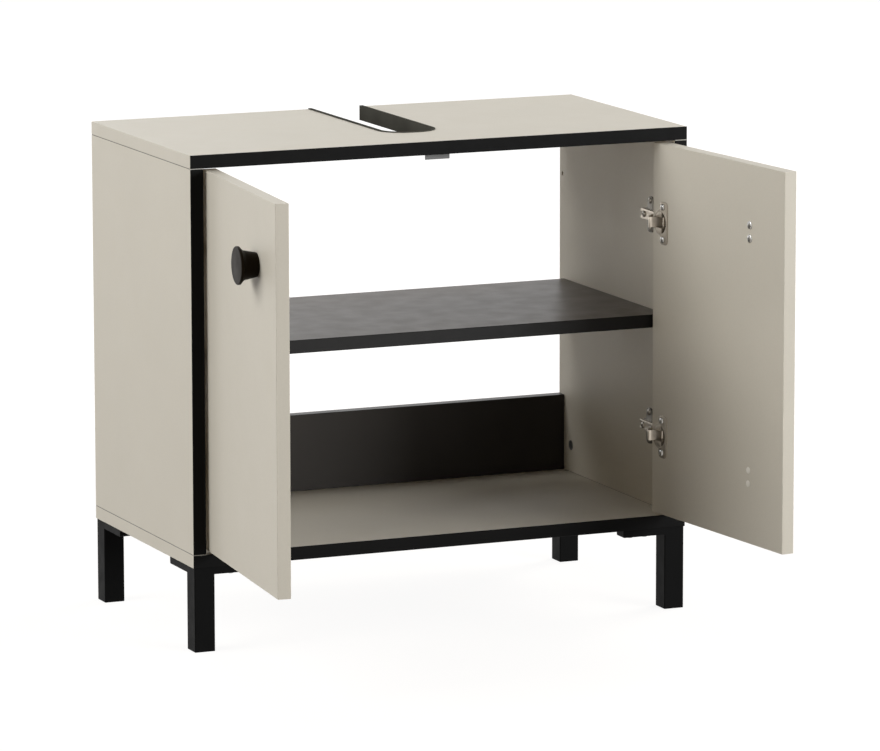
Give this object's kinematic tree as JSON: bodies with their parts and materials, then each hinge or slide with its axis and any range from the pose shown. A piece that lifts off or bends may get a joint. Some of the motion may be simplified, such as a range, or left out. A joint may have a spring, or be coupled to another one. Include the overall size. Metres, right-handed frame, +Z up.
{
  "type": "vanity base cabinet",
  "caption": "Low two-door bathroom cabinet on square legs, with a shelf, an open back and a siphon cut-out in its top.",
  "frame": {"origin": "bottom centre of the cabinet's box with both doors open, on the floor", "axes": "+X to the cabinet's right as seen from the front, +Y from the doors to the wall, +Z up"},
  "size_m": [0.6468, 0.5808, 0.556],
  "materials": {
    "greige_board": "matt melamine-faced chipboard, greige",
    "black_board": "matt melamine-faced chipboard, black",
    "black_edge_band": "matt black edge banding",
    "black_leg": "satin black moulded plastic",
    "black_knob": "satin black",
    "greige_plastic": "plastic caps in the colour of the board",
    "grey_plastic": "grey moulded plastic",
    "beech": "fluted beech dowel",
    "zinc_plated_steel": "zinc plated",
    "nickel_plated_steel": "nickel plated"
  },
  "bodies": {
    "carcass": {"top_panel": "greige_board", "left_side_panel": "greige_board", "right_side_panel": "greige_board", "bottom_panel": "greige_board", "rear_stretcher": "black_board", "shelf": "black_board", "top_front_edge_band": "black_edge_band", "top_cutout_edge_band": "black_edge_band", "left_side_front_edge_band": "black_edge_band", "right_side_front_edge_band": "black_edge_band", "bottom_front_edge_band": "black_edge_band", "shelf_front_edge_band": "black_edge_band", "front_left_leg": "black_leg", "front_right_leg": "black_leg", "rear_left_leg": "black_leg", "rear_right_leg": "black_leg", "leg_screws": "zinc_plated_steel", "shelf_pins": "zinc_plated_steel", "door_stop": "grey_plastic", "door_stop_screw": "nickel_plated_steel", "mounting_plate_screws": "nickel_plated_steel", "arm_fixing_screws": "nickel_plated_steel", "cam_locks": "zinc_plated_steel", "cam_bolts": "zinc_plated_steel", "cam_cover_caps": "greige_plastic", "panel_dowels": "beech", "left_upper_hinge_arm": "nickel_plated_steel", "left_lower_hinge_arm": "nickel_plated_steel", "left_upper_mounting_plate": "nickel_plated_steel", "left_lower_mounting_plate": "nickel_plated_steel", "right_upper_hinge_arm": "nickel_plated_steel", "right_lower_hinge_arm": "nickel_plated_steel", "right_upper_mounting_plate": "nickel_plated_steel", "right_lower_mounting_plate": "nickel_plated_steel"},
    "left_door": {"left_door": "greige_board", "left_knob": "black_knob", "left_knob_screws": "nickel_plated_steel", "left_door_hole_caps": "greige_plastic", "left_hinge_cup_screws": "nickel_plated_steel", "left_upper_hinge_cup": "nickel_plated_steel", "left_lower_hinge_cup": "nickel_plated_steel", "left_upper_hinge_pin": "nickel_plated_steel", "left_lower_hinge_pin": "nickel_plated_steel", "left_upper_hinge_spring": "nickel_plated_steel", "left_lower_hinge_spring": "nickel_plated_steel"},
    "right_door": {"right_door": "greige_board", "right_knob": "black_knob", "right_knob_screws": "nickel_plated_steel", "right_door_hole_caps": "greige_plastic", "right_hinge_cup_screws": "nickel_plated_steel", "right_upper_hinge_cup": "nickel_plated_steel", "right_lower_hinge_cup": "nickel_plated_steel", "right_upper_hinge_pin": "nickel_plated_steel", "right_lower_hinge_pin": "nickel_plated_steel", "right_upper_hinge_spring": "nickel_plated_steel", "right_lower_hinge_spring": "nickel_plated_steel"}
  },
  "joints": [
    {"name": "left_door_hinge", "type": "hinge", "parent": "carcass", "child": "left_door", "pos_m": [-0.2742, -0.01811, 0.325], "axis": [0, 0, 1], "range_deg": [0, 95.3]},
    {"name": "right_door_hinge", "type": "hinge", "parent": "carcass", "child": "right_door", "pos_m": [0.2742, -0.01811, 0.325], "axis": [0, 0, -1], "range_deg": [0, 95.3]}
  ]
}
